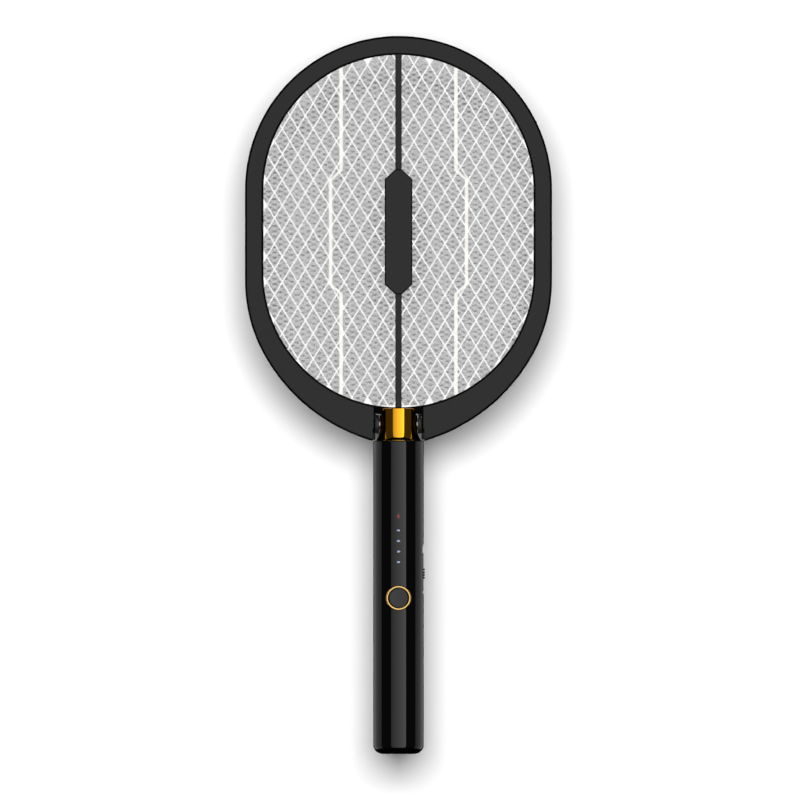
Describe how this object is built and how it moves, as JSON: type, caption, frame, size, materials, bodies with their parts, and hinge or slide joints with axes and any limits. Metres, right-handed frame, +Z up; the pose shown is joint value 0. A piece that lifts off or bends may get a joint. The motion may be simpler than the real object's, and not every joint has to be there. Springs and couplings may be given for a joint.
{
  "type": "electric fly swatter",
  "caption": "Handheld electric swatter: oval head with layered wire grids and a lamp capsule, a gold folding neck, and a round gloss-black handle with a push button and a side slide.",
  "frame": {"origin": "centre of the handle's flat lower end, which the swatter can stand on", "axes": "+Z up the handle to the top of the head, +Y to the back of the head, +X to the right seen from the front, where the side slide is; the button side faces -Y"},
  "size_m": [0.201, 0.0335, 0.47],
  "materials": {
    "head_plastic": "fine matt moulded ABS, charcoal",
    "grid_wire": "bright drawn and expanded metal",
    "spacer_plastic": "warm white insulating plastic",
    "contact_brass": "pressed brass strip",
    "lead_red": "insulated lead, red",
    "lead_black": "insulated lead, black",
    "lead_white": "insulated lead, white",
    "circuit_board": "printed board, green solder mask",
    "led_clear": "light-emitting diode",
    "lamp_lens": "clear violet-tinted lamp window",
    "steel": "zinc plated steel",
    "bush_plastic": "black low-friction plastic",
    "gold_plate": "polished gold plate",
    "handle_gloss": "high-gloss black moulded plastic",
    "cell_wrap": "shrink sleeve, plain blue",
    "chip_black": "moulded electronic package",
    "winding_copper": "enamelled copper winding on a ferrite core",
    "capacitor_red": "dipped film capacitor",
    "gauge_window": "clear light guide, pale blue when lit",
    "bolt_window": "clear red light guide",
    "button_gloss": "black push button, satin gloss",
    "slider_black": "black slide with a ribbed nub"
  },
  "bodies": {
    "handle": {"neck_post": "gold_plate", "handle_front": "handle_gloss", "handle_rear": "handle_gloss", "end_plate": "handle_gloss", "usb_socket": "steel", "usb_board": "circuit_board", "battery_cradle": "bush_plastic", "battery_cell": "cell_wrap", "battery_spring": "steel", "battery_contact": "contact_brass", "main_board": "circuit_board", "board_chips": "chip_black", "hv_transformer": "winding_copper", "hv_capacitors": "capacitor_red", "hv_diodes": "chip_black", "tact_switch": "chip_black", "indicator_leds": "led_clear", "charge_light_guide": "gauge_window", "shock_light_guide": "bolt_window", "mode_switch": "steel", "power_wires": "lead_red", "hv_wires": "lead_white", "handle_screws": "steel", "button_ring": "gold_plate"},
    "head": {"frame_front": "head_plastic", "frame_rear": "head_plastic", "outer_grid_front": "grid_wire", "outer_grid_rear": "grid_wire", "live_grid": "grid_wire", "spacer_front": "spacer_plastic", "spacer_rear": "spacer_plastic", "grid_terminals": "contact_brass", "grid_leads": "lead_red", "lamp_board": "circuit_board", "lamp_leds": "led_clear", "lamp_lens": "lamp_lens", "lamp_leads": "lead_black", "frame_screws": "steel", "hinge_pin": "steel", "hinge_bushes": "bush_plastic"},
    "power_button": {"power_button": "button_gloss"},
    "mode_slider": {"mode_slider": "slider_black"}
  },
  "joints": [
    {"name": "head_fold", "type": "hinge", "parent": "handle", "child": "head", "pos_m": [0, 0, 0.216], "axis": [-1, 0, 0], "range_deg": [0, 90]},
    {"name": "button_press", "type": "slide", "parent": "handle", "child": "power_button", "axis": [0, 1, 0], "range_m": [0, 0.001], "stiffness_N_per_m": 1500, "springref_m": -0.0005},
    {"name": "mode_slide", "type": "slide", "parent": "handle", "child": "mode_slider", "axis": [0, 0, 1], "range_m": [0, 0.006]}
  ]
}
